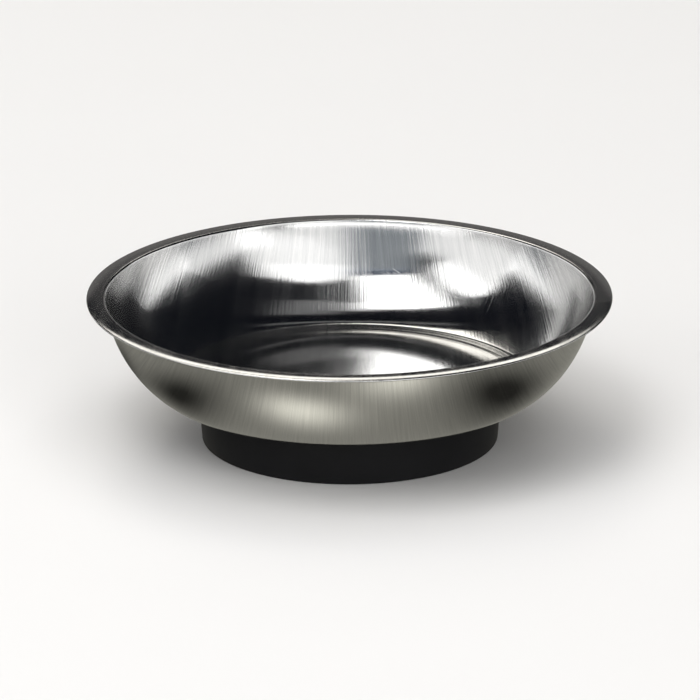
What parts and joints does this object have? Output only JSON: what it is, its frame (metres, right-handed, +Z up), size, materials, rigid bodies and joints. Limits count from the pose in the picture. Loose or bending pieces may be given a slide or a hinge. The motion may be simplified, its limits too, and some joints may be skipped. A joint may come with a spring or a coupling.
{
  "type": "magnetic pin cushion dish",
  "caption": "Magnetic pin dish: a pressed stainless steel bowl with an out-turned rim, held to a ring magnet inside a black rubber foot.",
  "frame": {"origin": "centre of the foot's flat underside, on the surface that the dish stands on", "axes": "+Z up along the axis of the round dish; +X and +Y lie in the surface, and any direction is the front"},
  "size_m": [0.108, 0.108, 0.0305],
  "materials": {
    "stainless": "bright stainless with a fine straight grain",
    "rubber": "satin black moulded rubber",
    "ferrite": "ground dark grey ferrite",
    "zinc_steel": "bright zinc plating",
    "nylon": "natural nylon",
    "red_fibre": "red vulcanised fibre"
  },
  "bodies": {
    "root": {"dish": "stainless", "rubber_boot": "rubber", "ring_magnet": "ferrite", "upper_plate": "zinc_steel", "lower_plate": "zinc_steel", "centring_bush": "nylon", "fibre_gasket": "red_fibre", "weld_stud": "zinc_steel", "flat_washer": "zinc_steel", "lock_washer": "zinc_steel", "jam_nut": "zinc_steel"}
  },
  "joints": []
}
